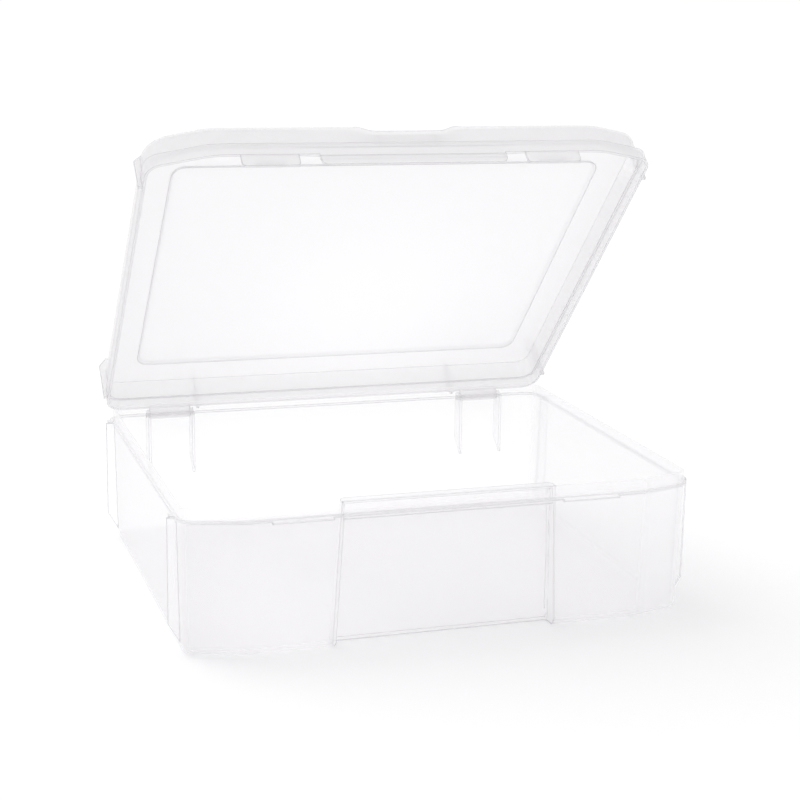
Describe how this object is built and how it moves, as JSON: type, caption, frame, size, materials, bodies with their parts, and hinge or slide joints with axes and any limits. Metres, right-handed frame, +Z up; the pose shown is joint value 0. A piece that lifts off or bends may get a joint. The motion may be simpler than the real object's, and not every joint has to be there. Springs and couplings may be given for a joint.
{
  "type": "keeper case",
  "caption": "Clear photo and craft keeper case: a shallow moulded tub with a front grip, a stepped lid on a pin hinge and flexing latch tabs, lid standing open.",
  "frame": {"origin": "Centre of the base tub's underside, on the surface that the case stands on.", "axes": "+X to the right seen from the front, +Y to the back where the hinge is, +Z up."},
  "size_m": [0.396, 0.3477, 0.355],
  "materials": {
    "clear_base": "translucent natural polypropylene, smooth",
    "clear_lid": "translucent natural polypropylene, smooth",
    "hinge_pin": "translucent natural polypropylene, smooth"
  },
  "bodies": {
    "base": {"base_tub": "clear_base", "hinge_pin_left": "hinge_pin", "hinge_pin_right": "hinge_pin"},
    "lid_body": {"lid": "clear_lid"},
    "latch_left": {"latch_tab_left": "clear_lid"},
    "latch_right": {"latch_tab_right": "clear_lid"}
  },
  "joints": [
    {"name": "lid_hinge", "type": "hinge", "parent": "base", "child": "lid_body", "pos_m": [0, 0.165, 0.096], "axis": [-1, 0, 0], "range_deg": [-46.6, 133]},
    {"name": "latch_left_flex", "type": "hinge", "parent": "lid_body", "child": "latch_left", "pos_m": [-0.108, -0.05952, 0.33677], "axis": [1, 0, 0], "range_deg": [-15, 12], "stiffness_Nm_per_rad": 0.2},
    {"name": "latch_right_flex", "type": "hinge", "parent": "lid_body", "child": "latch_right", "pos_m": [0.108, -0.05952, 0.33677], "axis": [1, 0, 0], "range_deg": [-15, 12], "stiffness_Nm_per_rad": 0.2}
  ]
}
